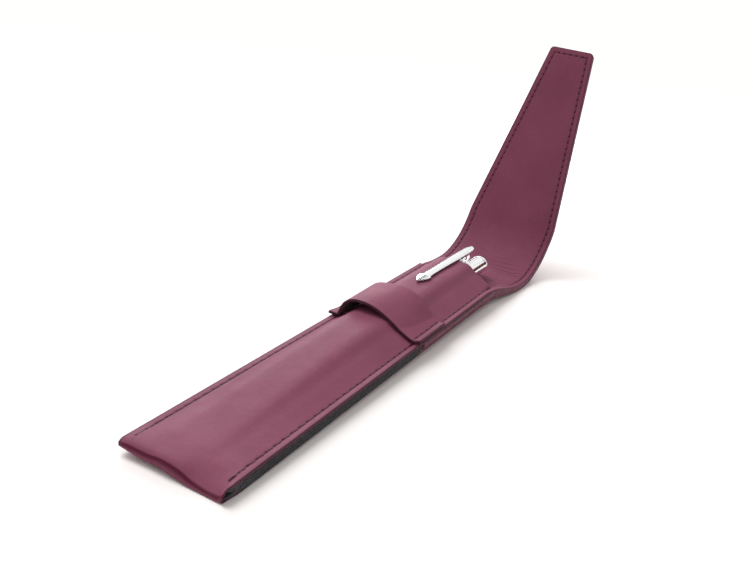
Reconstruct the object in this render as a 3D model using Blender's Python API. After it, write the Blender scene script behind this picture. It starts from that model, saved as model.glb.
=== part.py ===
"""Leather pen case: a stitched pocket with a keeper band, a long flap and two pens.

Units are metres. X runs across the case, +Y from the folded bottom end towards the
mouth and the flap, +Z up. The origin is the middle of the pocket's back face.
"""
import math

import bmesh
import bpy
import numpy as np
from mathutils import Matrix, Vector

MM = 0.001

# Case
pocket_length = 176.6 * MM
pocket_width = 35.0 * MM
leather = 1.2 * MM
cloth = 0.5 * MM
gap = 0.3 * MM
pocket_rise = 3.1 * MM
edge_lift = 2.6 * MM
mouth_edge_lift = 1.2 * MM
lift_place = 150.0 * MM
thread = 0.5 * MM
stitch_margin = 2.1 * MM

# Keeper band; its lower edge lies this far below the mouth
band_setback = 71.25 * MM
band_width = 21.7 * MM
band_leather = 1.0 * MM
band_arch_low = 9.3 * MM
band_arch_high = 10.2 * MM

# Flap, measured along its inner face from the mouth
flap_length = 145.7 * MM
flap_width = 40.8 * MM
flap_tip_width = 20.2 * MM
flap_lean = 0.75 * MM
flare_length = 30.0 * MM
taper_start = 62.0 * MM
bend_start = 27.5 * MM
bend_radius = 30.0 * MM
bend_angle = math.radians(63.5)
fold_place = 26.4 * MM
tip_corner = 2.5 * MM
flap_margin = 2.5 * MM
hinge_clearance = 0.15 * MM
fold_turn = math.radians(79.5)
neck_share = 0.4
open_share = 0.6

# Pens
pen_radius = 3.75 * MM
pen_height = 7.5 * MM
pen_a_x = -5.9 * MM
pen_b_x = 1.9 * MM
pen_a_reach = 23.9 * MM
pen_b_reach = 21.4 * MM
cap_depth = 32.0 * MM
ring_width = 2.0 * MM
ring_proud = 0.12 * MM
barrel_depth = 59.6 * MM
barrel_radius = 3.1 * MM
nose_depth = 88.3 * MM
nose_radius = 2.8 * MM
nose_length = 20.0 * MM
point_radius = 0.5 * MM
tail_length = 13.0 * MM
tail_radius = 1.0 * MM
dome_length = 3.5 * MM

# Clip of pen A
clip_tip_x = -3.0 * MM
clip_end_x = -1.8 * MM
clip_tip_height = 13.9 * MM
clip_end_height = 15.6 * MM
clip_inward = 33.6 * MM
clip_outward = 15.9 * MM
clip_width = 3.7 * MM
clip_point_width = 4.9 * MM
clip_point_length = 7.0 * MM
clip_thickness = 0.7 * MM
post_length = 5.0 * MM
post_width = 2.2 * MM
post_setback = 1.0 * MM

# Sizes worked out from the ones above
half_width = pocket_width / 2
edge_stack = 2 * leather + 2 * cloth + 3 * gap
flap_stack = 2 * leather + gap
fold_radius = edge_stack / 2
rise_slope = pocket_rise / pocket_length
cover = leather + cloth + 2 * gap
band_start = pocket_length - band_setback
lining_end = band_start + band_width * 0.2
mouth_y = pocket_length / 2
bend_length = bend_radius * bend_angle
neck_place = bend_start + bend_length * neck_share
open_place = bend_start + bend_length * open_share
thread_top = gap + thread

# The pocket across its width: places as shares of the half width, heights as shares
# of the bulge. The left flank is steep and the right one long.
section_x_shares = (-1, -0.88, -0.83, -0.785, -0.75, -0.7, -0.62, -0.53, -0.41, -0.25,
                    -0.08, 0.1, 0.2, 0.28, 0.36, 0.45, 0.56, 0.68, 0.79, 0.88, 1)
section_z_shares = (0, 0, 0.02, 0.15, 0.39, 0.61, 0.82, 0.94, 1, 1,
                    1, 1, 0.96, 0.885, 0.72, 0.55, 0.41, 0.24, 0.09, 0, 0)
# How far the pens fill the pocket along its length, as shares of the pen's radius
fill_y_shares = (0, 0.15, 0.33, 0.5, 0.66, 1)
fill_z_shares = (-0.48, -0.1, 0.45, 0.76, 0.84, 1)
# The band across the case, and its arch at its lower and upper edges
band_x_shares = (-1, -0.874, -0.843, -0.811, -0.726, -0.589, -0.446, -0.297, -0.114,
                 0.069, 0.251, 0.446, 0.6, 0.731, 0.863, 1)
band_low_shares = (0, 0, 0.26, 0.49, 0.753, 0.925, 0.99, 1, 0.957,
                   0.86, 0.715, 0.527, 0.339, 0.14, 0, 0)
band_high_shares = (0, 0, 0.22, 0.45, 0.716, 0.853, 0.912, 0.961, 1,
                    0.971, 0.892, 0.716, 0.47, 0.235, 0, 0)
# Where the back starts to curl up across its width, and where it is fully up
curl_start_share = 0.62
curl_end_share = 0.98
# Room that a slope needs over a thickness measured square to it
slope_share = 1.12
flap_side_shares = (-1, -0.6, 0, 0.6, 1)
corner_shares = (1, 0.6, 0.3, 0.1, 0)


def ease(t):
    t = min(max(t, 0.0), 1.0)
    return t * t * (3 - 2 * t)


def seam_top(along):
    """Height of the front's sewn edge at a distance from the bottom end."""
    return edge_stack + rise_slope * along


def front_height(along, share):
    fill = float(np.interp(along / pocket_length, fill_y_shares, fill_z_shares))
    bulge = pen_radius * fill + cover + gap / 3
    return seam_top(along) + bulge * float(np.interp(share, section_x_shares, section_z_shares))


def back_lift(along, share):
    """How far the back's edge stands up, from the bottom end to the flap's fold line."""
    if along < lift_place:
        lift = edge_lift * along / lift_place
    elif along < pocket_length:
        t = (along - lift_place) / (pocket_length - lift_place)
        lift = edge_lift + (mouth_edge_lift - edge_lift) * ease(t)
    else:
        t = (along - pocket_length) / (fold_place - 2 * hinge_clearance)
        lift = mouth_edge_lift * (1 - ease(t))
    spread = (abs(share) - curl_start_share) / (curl_end_share - curl_start_share)
    return lift * ease(spread)


def band_height(along, share):
    """Outer height of the band, which lies on the pocket where its arch ends."""
    t = (along - band_start) / band_width
    low = band_arch_low * float(np.interp(share, band_x_shares, band_low_shares))
    high = band_arch_high * float(np.interp(share, band_x_shares, band_high_shares))
    laid = front_height(along, share) + (gap + band_leather) * slope_share
    return max(seam_top(along) + low + (high - low) * t, laid)


def flap_half_width(s):
    """Half of the flap's width: it flares from the pocket, then tapers to its tip."""
    if s < flare_length:
        return (pocket_width + (flap_width - pocket_width) * (1 - (1 - s / flare_length) ** 2)) / 2
    taper = max(s - taper_start, 0.0) / (flap_length - taper_start)
    wide = (flap_width + (flap_tip_width - flap_width) * taper) / 2
    rest = flap_length - s
    if rest < tip_corner:
        wide -= tip_corner - math.sqrt(max(tip_corner ** 2 - (tip_corner - rest) ** 2, 0.0))
    return wide


def flap_frame(s):
    """Place of the flap's inner face on its middle line, and how far it has turned up."""
    turn = min(max(s - bend_start, 0.0), bend_length) / bend_radius
    rest = max(s - bend_start - bend_length, 0.0)
    y = mouth_y + min(s, bend_start) + bend_radius * math.sin(turn) + rest * math.cos(turn)
    z = flap_stack + bend_radius * (1 - math.cos(turn)) + rest * math.sin(turn)
    return y, z, turn


def flap_point(s, x, depth):
    """A point of the flap, which leans a little to the right; depth is from its outer face."""
    y, z, turn = flap_frame(s)
    above = depth - flap_stack
    z += back_lift(pocket_length + s, x / flap_half_width(s))
    x += flap_lean * max(s - fold_place, 0.0) / (flap_length - fold_place)
    return Vector((x, y - above * math.sin(turn), z + above * math.cos(turn)))


def new_material(name, colour, roughness, metallic=0.0):
    material = bpy.data.materials.new(name)
    material.use_nodes = True
    shader = material.node_tree.nodes["Principled BSDF"]
    shader.inputs["Base Color"].default_value = (*colour, 1.0)
    shader.inputs["Roughness"].default_value = roughness
    shader.inputs["Metallic"].default_value = metallic
    return material


def finish_object(name, bm, material, origin=None):
    bmesh.ops.recalc_face_normals(bm, faces=bm.faces)
    mesh = bpy.data.meshes.new(name)
    bm.to_mesh(mesh)
    bm.free()
    mesh.shade_smooth()
    mesh.set_sharp_from_angle(angle=math.radians(40))
    mesh.materials.append(material)
    obj = bpy.data.objects.new(name, mesh)
    bpy.context.scene.collection.objects.link(obj)
    if origin is not None:
        mesh.transform(Matrix.Translation(-origin))
        obj.location = origin
    return obj


def add_sheet(bm, top, bottom):
    """Close the space between two equal grids of points."""
    upper = [[bm.verts.new(p) for p in row] for row in top]
    lower = [[bm.verts.new(p) for p in row] for row in bottom]
    rows = len(top) - 1
    columns = len(top[0]) - 1
    for i in range(rows):
        for j in range(columns):
            bm.faces.new((upper[i][j], upper[i + 1][j], upper[i + 1][j + 1], upper[i][j + 1]))
            bm.faces.new((lower[i][j], lower[i][j + 1], lower[i + 1][j + 1], lower[i + 1][j]))
        bm.faces.new((upper[i][0], lower[i][0], lower[i + 1][0], upper[i + 1][0]))
        bm.faces.new((upper[i][-1], upper[i + 1][-1], lower[i + 1][-1], lower[i][-1]))
    for j in range(columns):
        bm.faces.new((upper[0][j], upper[0][j + 1], lower[0][j + 1], lower[0][j]))
        bm.faces.new((upper[-1][j], lower[-1][j], lower[-1][j + 1], upper[-1][j + 1]))


def grid_normals(grid):
    """Unit normals of a grid of points, from its neighbours along and across."""
    points = np.array(grid)
    normals = np.cross(np.gradient(points, axis=0), np.gradient(points, axis=1))
    return points, normals / np.linalg.norm(normals, axis=2, keepdims=True)


def build_layer(name, points, normals, near, far, material):
    """A layer that lies from one depth to another under a grid of points."""
    bm = bmesh.new()
    add_sheet(bm, points + normals * near, points + normals * far)
    return finish_object(name, bm, material)


def strip_rows():
    """Outer face of the leather strip, from the mouth round the bottom to the fold line.

    Each row is (distance from the bottom end, leg it lies on, its points).
    """
    rows = []
    places = [x * half_width for x in section_x_shares]
    for along in np.linspace(pocket_length, fold_radius, 15):
        points = [(x, along - mouth_y, front_height(along, share))
                  for x, share in zip(places, section_x_shares)]
        rows.append((along, "front", points))
    for turn in np.linspace(0.0, math.pi, 9)[1:-1]:
        y = fold_radius * (1 - math.sin(turn)) - mouth_y
        points = []
        for x, share in zip(places, section_x_shares):
            high = front_height(fold_radius, share)
            low = back_lift(fold_radius, share)
            points.append((x, y, (high + low) / 2 + (high - low) / 2 * math.cos(turn)))
        rows.append((fold_radius, "fold", points))
    for along in np.linspace(fold_radius, pocket_length, 15):
        points = [(x, along - mouth_y, back_lift(along, share))
                  for x, share in zip(places, section_x_shares)]
        rows.append((along, "back", points))
    for s in np.linspace(0.0, fold_place - hinge_clearance, 6)[1:]:
        points = [tuple(flap_point(s, share * flap_half_width(s), 0.0))
                  for share in section_x_shares]
        rows.append((pocket_length + s, "flap", points))
    return rows


def build_strip_layers(purple, dark_cloth, lining):
    """The strip itself and the two linings that follow it."""
    rows = strip_rows()
    points, normals = grid_normals([row for along, leg, row in rows])
    if normals[-1][0][2] < 0:
        normals = -normals
    build_layer("outer_leather", points, normals, 0.0, leather, purple)
    low = [i for i, (along, leg, row) in enumerate(rows)
           if leg == "fold" or (leg in ("front", "back") and along < lining_end)]
    build_layer("pocket_lining", points[low], normals[low],
                leather + gap, leather + gap + cloth, dark_cloth)
    high = [i for i, (along, leg, row) in enumerate(rows)
            if leg == "flap" or (leg == "back" and along > lining_end)]
    build_layer("flap_lining_root", points[high], normals[high],
                leather + gap, flap_stack, lining)


def build_keeper_band(material):
    rows = []
    for along in np.linspace(band_start, band_start + band_width, 4):
        rows.append([(share * half_width, along - mouth_y, band_height(along, share))
                     for share in band_x_shares])
    points, normals = grid_normals(rows)
    if normals[0][0][2] > 0:
        normals = -normals
    build_layer("keeper_band", points, normals, 0.0, band_leather, material)


def build_cord(name, places, material, origin=None):
    """A square cord of thread along a row of (point, up) pairs."""
    bm = bmesh.new()
    rings = []
    for i, (point, up) in enumerate(places):
        before = places[max(i - 1, 0)][0]
        after = places[min(i + 1, len(places) - 1)][0]
        side = (after - before).cross(up).normalized() * (thread / 2)
        rings.append([bm.verts.new(p) for p in (
            point - side, point + side, point + side + up * thread, point - side + up * thread)])
    for a, b in zip(rings, rings[1:]):
        for k in range(4):
            bm.faces.new((a[k], a[(k + 1) % 4], b[(k + 1) % 4], b[k]))
    bm.faces.new(list(reversed(rings[0])))
    bm.faces.new(rings[-1])
    return finish_object(name, bm, material, origin)


def build_seam_thread(name, side, material):
    """The line of stitches on one side seam, over the band's end that is sewn into it."""
    x = side * (half_width - stitch_margin)
    share = x / half_width
    up = Vector((0, 0, 1))
    band_end = band_start + band_width
    step = thread_top
    places = []
    for along in np.linspace(2 * fold_radius, band_start - step, 8):
        places.append((along, front_height(along, share)))
    for along in np.linspace(band_start, band_end, 3):
        places.append((along, band_height(along, share)))
    for along in np.linspace(band_end + step, pocket_length - gap, 6):
        places.append((along, front_height(along, share)))
    build_cord(name, [(Vector((x, along - mouth_y, height + gap)), up)
                      for along, height in places], material)


def flap_thread_place(s, x):
    turn = flap_frame(s)[2]
    return flap_point(s, x, flap_stack + gap), Vector((0, -math.sin(turn), math.cos(turn)))


def build_edge_thread(name, start, end, side, material, origin=None):
    """The line of stitches along one edge of a flap piece."""
    places = []
    for s in np.linspace(start, end, 5):
        places.append(flap_thread_place(s, side * (flap_half_width(s) - flap_margin)))
    build_cord(name, places, material, origin)


def build_tongue_thread(start, material, origin):
    """One line of stitches up the left edge, across the tip and down the right edge."""
    last = flap_length - flap_margin
    bend_end = bend_start + bend_length
    stations = list(np.linspace(start, bend_end, 4))
    stations += list(np.linspace(bend_end, last - tip_corner, 5))[1:]
    edge = [(s, flap_half_width(s) - flap_margin) for s in stations]
    centre_x = edge[-1][1] - tip_corner
    edge += [(last - tip_corner + tip_corner * math.sin(t), centre_x + tip_corner * math.cos(t))
             for t in np.linspace(0, math.pi / 2, 4)[1:]]
    route = [(s, -x) for s, x in edge] + [(s, x) for s, x in reversed(edge)]
    build_cord("flap_tongue_thread", [flap_thread_place(s, x) for s, x in route],
               material, origin)


def build_flap_layer(name, start, end, near, far, rows, material, origin):
    first = start + hinge_clearance
    if end < flap_length:
        stations = list(np.linspace(first, end - hinge_clearance, rows))
    else:
        bend_end = bend_start + bend_length
        stations = list(np.linspace(first, bend_end, rows))
        stations += list(np.linspace(bend_end, end - tip_corner, rows))[1:-1]
        stations += [end - tip_corner * share for share in corner_shares]
    bm = bmesh.new()
    add_sheet(bm, *[[[flap_point(s, share * flap_half_width(s), depth)
                      for share in flap_side_shares] for s in stations]
                    for depth in (near, far)])
    return finish_object(name, bm, material, origin)


def build_flap(purple, lining, maroon):
    """The flap past its fold line: heel and neck in the bend, then the tongue."""
    fold_origin = flap_point(fold_place, 0.0, flap_stack)
    neck_origin = flap_point(neck_place, 0.0, flap_stack)
    open_origin = flap_point(open_place, 0.0, 0.0)
    pieces = (("flap_heel", fold_place, neck_place, fold_origin, 7),
              ("flap_neck", neck_place, open_place, neck_origin, 4),
              ("flap_tongue", open_place, flap_length, open_origin, 6))
    for name, start, end, origin, rows in pieces:
        build_flap_layer(name + "_outer", start, end, 0.0, leather, rows, purple, origin)
        build_flap_layer(name + "_lining", start, end, leather + gap, flap_stack,
                         rows, lining, origin)
    room = thread_top * math.tan(fold_turn / 2) + hinge_clearance
    for side, label in ((-1, "_left"), (1, "_right")):
        build_edge_thread("mouth_thread" + label, gap, fold_place - room, side, maroon)
        build_edge_thread("flap_heel_thread" + label, fold_place + room,
                          neck_place - room, side, maroon, fold_origin)
        build_edge_thread("flap_neck_thread" + label, neck_place + room,
                          open_place - room, side, maroon, neck_origin)
    build_tongue_thread(open_place + room, maroon, open_origin)


def turned(name, profile, material, segments=20):
    """A solid of revolution about +Y from a list of (distance along, radius)."""
    bm = bmesh.new()
    rings = []
    angles = [2 * math.pi * k / segments for k in range(segments)]
    for y, radius in profile:
        rings.append([bm.verts.new((radius * math.sin(a), y, radius * math.cos(a)))
                      for a in angles])
    for a, b in zip(rings, rings[1:]):
        for k in range(segments):
            n = (k + 1) % segments
            bm.faces.new((a[k], a[n], b[n], b[k]))
    bm.faces.new(list(reversed(rings[0])))
    bm.faces.new(rings[-1])
    return finish_object(name, bm, material)


def barrel_profile(depth):
    """A pen's radius at a depth inside the mouth."""
    return float(np.interp(depth, (0.0, barrel_depth, nose_depth),
                           (pen_radius, barrel_radius, nose_radius)))


def build_pen(prefix, x, cap_end, chrome, lacquer):
    """Cap, ring, barrel and nose on one axis, which rises a little towards the mouth."""
    ring_top = -cap_depth - gap
    ring_low = ring_top - ring_width
    barrel_top = ring_low - gap
    pieces = [
        turned(prefix + "_cap", [(-cap_depth, barrel_profile(cap_depth)),
                                 (0.0, pen_radius)] + cap_end, chrome),
        turned(prefix + "_ring", (
            (ring_low, barrel_profile(-ring_low) + ring_proud),
            (ring_top, barrel_profile(-ring_top) + ring_proud)), chrome),
        turned(prefix + "_barrel", (
            (-nose_depth + gap, nose_radius), (-barrel_depth, barrel_radius),
            (barrel_top, barrel_profile(-barrel_top))), lacquer),
        turned(prefix + "_nose", (
            (-nose_depth - nose_length, point_radius), (-nose_depth, nose_radius)), chrome)]
    for obj in pieces:
        obj.location = (x, mouth_y, pen_height)
        obj.rotation_euler = (math.atan(rise_slope), 0, 0)


def build_clip_post(material):
    """The foot that carries the clip: it stands on the cap and leans towards the clip."""
    axis_height = pen_height + rise_slope * clip_outward
    reach_x = clip_end_x - pen_a_x
    reach_z = clip_end_height - clip_thickness - axis_height
    lean = math.atan2(reach_x, reach_z)
    spread = post_width / 2
    seat = pen_radius + gap
    top = math.hypot(reach_x, reach_z) - 2 * gap
    flat = spread * math.tan(lean)
    spread_angle = math.asin(spread / seat)
    outline = [(seat * math.sin(a), seat * math.cos(a))
               for a in np.linspace(-spread_angle, spread_angle, 5)]
    outline += [(spread, top + flat), (-spread, top - flat)]
    last = mouth_y + clip_outward - post_setback
    bm = bmesh.new()
    near = []
    far = []
    for x, z in outline:
        px = pen_a_x + x * math.cos(lean) + z * math.sin(lean)
        pz = axis_height - x * math.sin(lean) + z * math.cos(lean)
        near.append(bm.verts.new((px, last - post_length, pz)))
        far.append(bm.verts.new((px, last, pz)))
    for k in range(len(outline)):
        n = (k + 1) % len(outline)
        bm.faces.new((near[k], near[n], far[n], far[k]))
    bm.faces.new(list(reversed(near)))
    bm.faces.new(far)
    return finish_object("pen_a_clip_post", bm, material)


def build_clip(material):
    """The clip's blade from its arrow point, over the mouth, to its end past the foot."""
    length = clip_inward + clip_outward
    stations = ((0.0, clip_width * 0.2), (clip_point_length * 0.45, clip_point_width / 2),
                (clip_point_length, clip_point_width / 2),
                (clip_point_length * 1.15, clip_width / 2),
                (length * 0.6, clip_width / 2), (length, clip_width / 2))
    top = []
    bottom = []
    for distance, half in stations:
        t = distance / length
        x = clip_tip_x + (clip_end_x - clip_tip_x) * t
        y = mouth_y - clip_inward + distance
        z = clip_tip_height + (clip_end_height - clip_tip_height) * t
        top.append([Vector((x + side * half, y, z)) for side in (-1, 0, 1)])
        bottom.append([Vector((x + side * half, y, z - clip_thickness)) for side in (-1, 0, 1)])
    bm = bmesh.new()
    add_sheet(bm, top, bottom)
    pivot_y = mouth_y + clip_outward - post_setback - post_length / 2
    pivot = Vector((clip_end_x, pivot_y, clip_end_height - clip_thickness / 2))
    return finish_object("pen_a_clip", bm, material, pivot)


def build_pens(chrome, lacquer):
    tail_start = pen_a_reach - tail_length
    tail = [(tail_start + tail_length * share, pen_radius + (tail_radius - pen_radius) * drop)
            for share, drop in ((0, 0), (0.35, 0.12), (0.75, 0.55), (1, 1))]
    build_pen("pen_a", pen_a_x, tail, chrome, lacquer)
    dome = [(pen_b_reach - dome_length * (1 - math.sin(t)), pen_radius * max(math.cos(t), 0.15))
            for t in np.linspace(0.0, math.pi / 2, 6)]
    build_pen("pen_b", pen_b_x, dome, chrome, lacquer)
    build_clip_post(chrome)
    build_clip(chrome)


def build_case():
    purple = new_material("plum_leather", (0.254, 0.089, 0.141), 0.5)
    lining = new_material("plum_lining_leather", (0.195, 0.055, 0.098), 0.55)
    dark_cloth = new_material("charcoal_cloth", (0.045, 0.045, 0.052), 0.9)
    maroon = new_material("maroon_thread", (0.102, 0.009, 0.04), 0.7)
    chrome = new_material("chrome", (0.8, 0.8, 0.8), 0.12, 1.0)
    lacquer = new_material("black_lacquer", (0.01, 0.01, 0.012), 0.15)
    build_strip_layers(purple, dark_cloth, lining)
    build_keeper_band(purple)
    build_seam_thread("seam_thread_left", -1, maroon)
    build_seam_thread("seam_thread_right", 1, maroon)
    build_flap(purple, lining, maroon)
    build_pens(chrome, lacquer)


for old in list(bpy.data.objects):
    bpy.data.objects.remove(old)
build_case()
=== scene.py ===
"""The dressed pen case: plum leather, charcoal lining, stitches and chrome pens.

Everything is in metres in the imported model's frame. X runs across the case, +Y from
the folded bottom end to the mouth and the flap, +Z up from the table.
"""
import math

import bmesh
import bpy
import numpy as np
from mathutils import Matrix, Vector


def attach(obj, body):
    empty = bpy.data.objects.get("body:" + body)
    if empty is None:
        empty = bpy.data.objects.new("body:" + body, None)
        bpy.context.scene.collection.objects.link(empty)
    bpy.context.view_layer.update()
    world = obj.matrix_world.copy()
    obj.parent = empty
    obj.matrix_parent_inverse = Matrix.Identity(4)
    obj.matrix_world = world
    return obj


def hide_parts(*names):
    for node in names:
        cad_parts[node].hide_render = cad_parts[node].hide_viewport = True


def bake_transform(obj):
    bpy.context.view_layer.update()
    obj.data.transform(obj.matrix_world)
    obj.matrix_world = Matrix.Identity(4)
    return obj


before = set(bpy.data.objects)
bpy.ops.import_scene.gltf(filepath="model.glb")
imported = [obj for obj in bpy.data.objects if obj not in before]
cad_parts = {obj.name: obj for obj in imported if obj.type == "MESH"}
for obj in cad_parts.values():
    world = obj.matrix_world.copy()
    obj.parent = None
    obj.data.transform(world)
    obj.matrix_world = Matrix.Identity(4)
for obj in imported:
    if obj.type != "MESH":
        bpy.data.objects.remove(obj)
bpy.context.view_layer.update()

MM = 0.001

# Sizes of the case, as in the frame. The edges' lifts, the press at the mouth, the pocket's
# left flank and the flap's corners are fitted more closely to the photo than the solids'.
LENGTH = 176.6 * MM
HALF = 17.5 * MM
MOUTH_Y = LENGTH / 2
LEATHER = 1.2 * MM
LAYER_GAP = 0.3 * MM
FLAP_STACK = 2.7 * MM
EDGE_STACK = 4.3 * MM
RISE_SLOPE = 3.1 / 176.6
EDGE_LIFT = 2.7 * MM
MOUTH_LIFT = 2.2 * MM
LIFT_PLACE = 158.0 * MM
COVER = 2.4 * MM
MOUTH_PRESS = 0.95 * MM
PRESS_LENGTH = 9.0 * MM
PRESS_FROM = 0.80
CURL_FROM = 0.62
SEWN_FROM = 0.72
PEN_R = 3.75 * MM

BAND_START = 105.35 * MM
BAND_WIDTH = 21.7 * MM
CHARCOAL_END = BAND_START + 2 * MM
BAND_LEATHER = 1.0 * MM
ARCH_LOW = 9.3 * MM
ARCH_HIGH = 10.2 * MM

FLAP_LENGTH = 145.7 * MM
FLAP_WIDTH = 40.8 * MM
TIP_WIDTH = 20.2 * MM
FLAP_LEAN = 0.75 * MM
FLARE = 30.0 * MM
TAPER_START = 62.0 * MM
BEND_START = 27.5 * MM
BEND_R = 30.0 * MM
BEND_ANGLE = math.radians(63.5)
BEND_LENGTH = BEND_R * BEND_ANGLE
TIP_CORNER = 1.5 * MM
HINGE_FOLD = 26.4 * MM

# Where the flap's fine sheets are cut, and how far up its edge is left raw
CUT_HEEL = 34.0 * MM
CUT_NECK = 44.4 * MM
RAW_FLAP_EDGE = 42.0 * MM

# Stitching
SEAM_MARGIN = 2.1 * MM
SEAM_PITCH = 4.0 * MM
SEAM_FIRST = 4.6 * MM
FLAP_MARGIN = 2.5 * MM
FLAP_PITCH = 2.9 * MM
FLAP_FIRST = 1.2 * MM
THREAD_R = 0.24 * MM
GROOVE = 0.22 * MM
FLAP_STITCH_GAP = 0.3 * MM

# The pocket across its width, how far the pens fill it along its length, and the band's arch
# at its lower and upper edges: places, and heights as shares of the whole
SECTION_X = (-1, -0.88, -0.83, -0.785, -0.75, -0.7, -0.62, -0.53, -0.41, -0.25,
             -0.08, 0.1, 0.2, 0.28, 0.36, 0.45, 0.56, 0.68, 0.79, 0.88, 1)
SECTION_Z = (0, 0, 0.03, 0.10, 0.19, 0.33, 0.56, 0.80, 0.97, 1,
             1, 1, 0.96, 0.885, 0.72, 0.55, 0.41, 0.24, 0.09, 0, 0)
FILL_Y = (0, 0.15, 0.33, 0.5, 0.66, 1)
FILL_Z = (-0.48, -0.1, 0.45, 0.76, 0.84, 1)
BAND_X = (-1, -0.874, -0.843, -0.811, -0.726, -0.589, -0.446, -0.297, -0.114,
          0.069, 0.251, 0.446, 0.6, 0.731, 0.863, 1)
BAND_LOW = (0, 0, 0.26, 0.49, 0.753, 0.925, 0.99, 1, 0.957,
            0.86, 0.715, 0.527, 0.339, 0.17, 0.03, 0)
BAND_HIGH = (0, 0, 0.22, 0.45, 0.716, 0.853, 0.912, 0.961, 1,
             0.971, 0.892, 0.716, 0.47, 0.245, 0.04, 0)

# The folded bottom end. At these shares of the half width its outline runs through six
# places, each a distance from the end and a height in millimetres. The left corner is
# pinched thin and lifted, a crease falls from the middle to the right under the front's
# shoulder, and the right corner droops to the table.
FOLD_AT = (-1, -0.8, -0.5, -0.2, 0.1, 0.4, 0.7, 0.88, 1)
FOLD_PLACES = (
    ((6.0, 6.0, 5.5, 5.5, 6.0, 7.0, 7.5, 6.5, 3.0),
     (4.42, 4.62, 4.95, 5.05, 5.02, 4.74, 4.32, 4.15, 4.25)),
    ((2.2, 2.3, 2.3, 2.3, 2.6, 3.4, 3.6, 3.0, 1.2),
     (4.30, 4.40, 4.48, 4.72, 4.45, 3.40, 2.80, 2.80, 3.95)),
    ((0.5, 0.8, 0.9, 0.95, 0.95, 0.95, 0.9, 0.8, 0.45),
     (3.60, 3.55, 3.42, 3.88, 3.38, 1.72, 1.02, 1.25, 3.10)),
    ((-0.05, 0.2, 0.3, 0.3, 0.3, 0.25, 0.2, 0.15, 0.05),
     (3.05, 2.75, 2.50, 2.70, 2.05, 1.05, 0.62, 0.65, 1.60)),
    ((0.35, 0.6, 0.75, 0.8, 0.6, 0.35, 0.35, 0.35, 0.35),
     (2.50, 1.75, 1.24, 1.14, 0.60, 0.20, 0.15, 0.15, 0.30)),
    ((2.2, 2.0, 2.0, 2.0, 1.9, 1.6, 1.8, 1.9, 1.9),
     (2.15, 1.35, 0.75, 0.65, 0.30, 0.03, 0.02, 0.02, 0.02)),
)
# Which of the places the crease runs along, and the height at which the back leaves the fold
FOLD_CREASE = 2
FOLD_LIFTS = (2.10, 1.30, 0.72, 0.62, 0.28, 0.0, 0.0, 0.0, 0.0)
FOLD_STEPS = 7
FOLD_FRONT = 11.0 * MM
FOLD_BACK = 6.0 * MM

# Rows of points along the strip, and how wavy the leather lies
FRONT_ROWS = 200
BACK_ROWS = 120
BAND_ROWS = 44
FRONT_WAVE = 0.10 * MM
LINING_WAVE = 0.08 * MM

# The fine wrinkles on the flap's lining, where the flap bends
WRINKLE_PLACE = 26.0 * MM
WRINKLE_REACH = 12.0 * MM
WRINKLE_DEPTH = 0.34 * MM
WRINKLE_WIDTH = 0.95 * MM


def smooth_curve(xs, ys):
    """A curve through points that never overshoots them (monotone cubic)."""
    xs, ys = np.array(xs, float), np.array(ys, float)
    h = np.diff(xs)
    d = np.diff(ys) / h
    m = np.zeros_like(xs)
    for i in range(1, len(xs) - 1):
        if d[i - 1] * d[i] > 0:
            a = 2 * h[i] + h[i - 1]
            b = h[i] + 2 * h[i - 1]
            m[i] = (a + b) / (a / d[i - 1] + b / d[i])
    m[0], m[-1] = d[0], d[-1]

    def value(x):
        x = np.clip(np.asarray(x, float), xs[0], xs[-1])
        i = np.clip(np.searchsorted(xs, x, side="right") - 1, 0, len(h) - 1)
        t = (x - xs[i]) / h[i]
        return ((2 * t ** 3 - 3 * t ** 2 + 1) * ys[i] + (t ** 3 - 2 * t ** 2 + t) * h[i] * m[i]
                + (3 * t ** 2 - 2 * t ** 3) * ys[i + 1] + (t ** 3 - t ** 2) * h[i] * m[i + 1])
    return value


section = smooth_curve(SECTION_X, SECTION_Z)
fill = smooth_curve(FILL_Y, FILL_Z)
band_low = smooth_curve(BAND_X, BAND_LOW)
band_high = smooth_curve(BAND_X, BAND_HIGH)
fold_lift = smooth_curve(FOLD_AT, FOLD_LIFTS)


def ease(t):
    t = np.clip(t, 0.0, 1.0)
    return t * t * (3 - 2 * t)


def unit(vectors):
    return vectors / np.linalg.norm(vectors, axis=-1, keepdims=True)


def row_at(x, y, z):
    """Points of one row across the case."""
    return np.stack((x, np.full_like(x, y), z), 1)


def ripple(x, y, seed, scale):
    """Soft, repeatable waviness between -1 and 1."""
    rng = np.random.default_rng(seed)
    total = 0.0
    for _ in range(5):
        angle = rng.uniform(0, 2 * math.pi)
        wave = scale * rng.uniform(0.7, 1.6)
        phase = rng.uniform(0, 2 * math.pi)
        total = total + np.sin((x * math.cos(angle) + y * math.sin(angle)) / wave + phase)
    return total / 5


def seam_top(v):
    return EDGE_STACK + RISE_SLOPE * v


def mouth_press(v, u):
    """Where the front's right corner at the mouth is sewn down flat onto the flap's lining."""
    return ease((v - (LENGTH - PRESS_LENGTH)) / PRESS_LENGTH) * ease((u - PRESS_FROM) / 0.1)


def front_z(v, u):
    return (seam_top(v) + (PEN_R * fill(v / LENGTH) + COVER) * section(u)
            - MOUTH_PRESS * mouth_press(v, u))


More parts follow.
